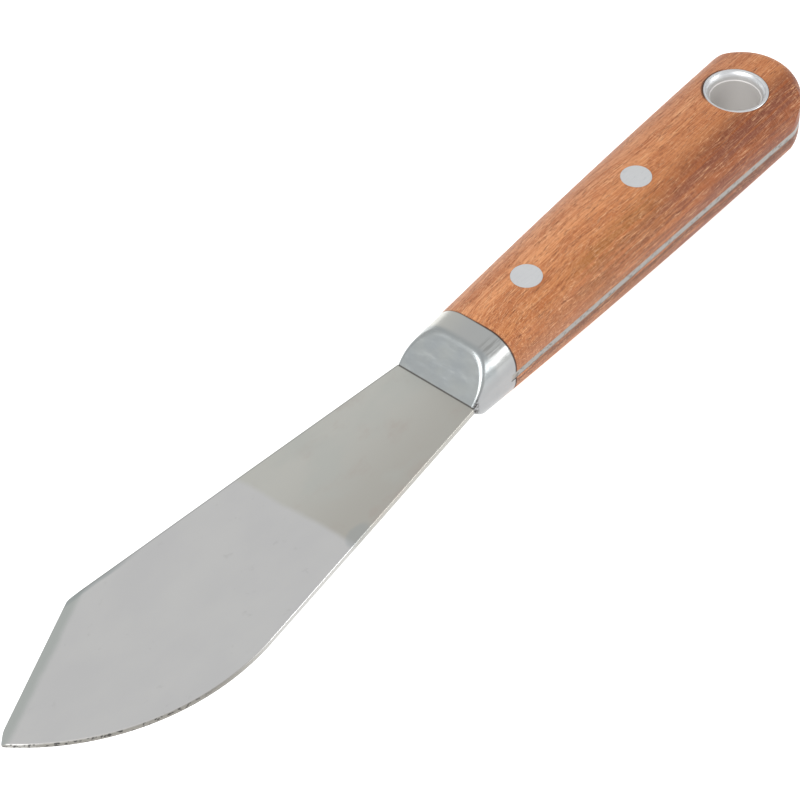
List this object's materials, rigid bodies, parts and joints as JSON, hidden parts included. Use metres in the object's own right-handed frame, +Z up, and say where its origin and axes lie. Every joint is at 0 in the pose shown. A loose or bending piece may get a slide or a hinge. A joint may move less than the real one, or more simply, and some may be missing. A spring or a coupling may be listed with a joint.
{
  "type": "clip-point filling knife",
  "caption": "Riveted full-tang filling knife with a clip-point steel blade, cast metal bolster, hardwood scales and a metal-lined hanging hole.",
  "frame": {"origin": "under the middle of the whole knife's box, at its lowest level", "axes": "+X along the knife towards the blade tip, +Y to the curved side of the blade, +Z up, square to the steel sheet"},
  "size_m": [0.226, 0.0354, 0.0184],
  "materials": {
    "blade_steel": "fine ground steel, polished beyond the grind line",
    "bolster_metal": "cast, sanded and polished",
    "handle_wood": "orange-brown hardwood, satin",
    "rivet_metal": "dressed flush, satin",
    "eyelet_metal": "bright spun"
  },
  "bodies": {
    "root": {"blade": "blade_steel", "bolster": "bolster_metal", "upper_scale": "handle_wood", "lower_scale": "handle_wood", "front_rivet_male": "rivet_metal", "front_rivet_female": "rivet_metal", "rear_rivet_male": "rivet_metal", "rear_rivet_female": "rivet_metal", "hanging_eyelet": "eyelet_metal"}
  },
  "joints": []
}
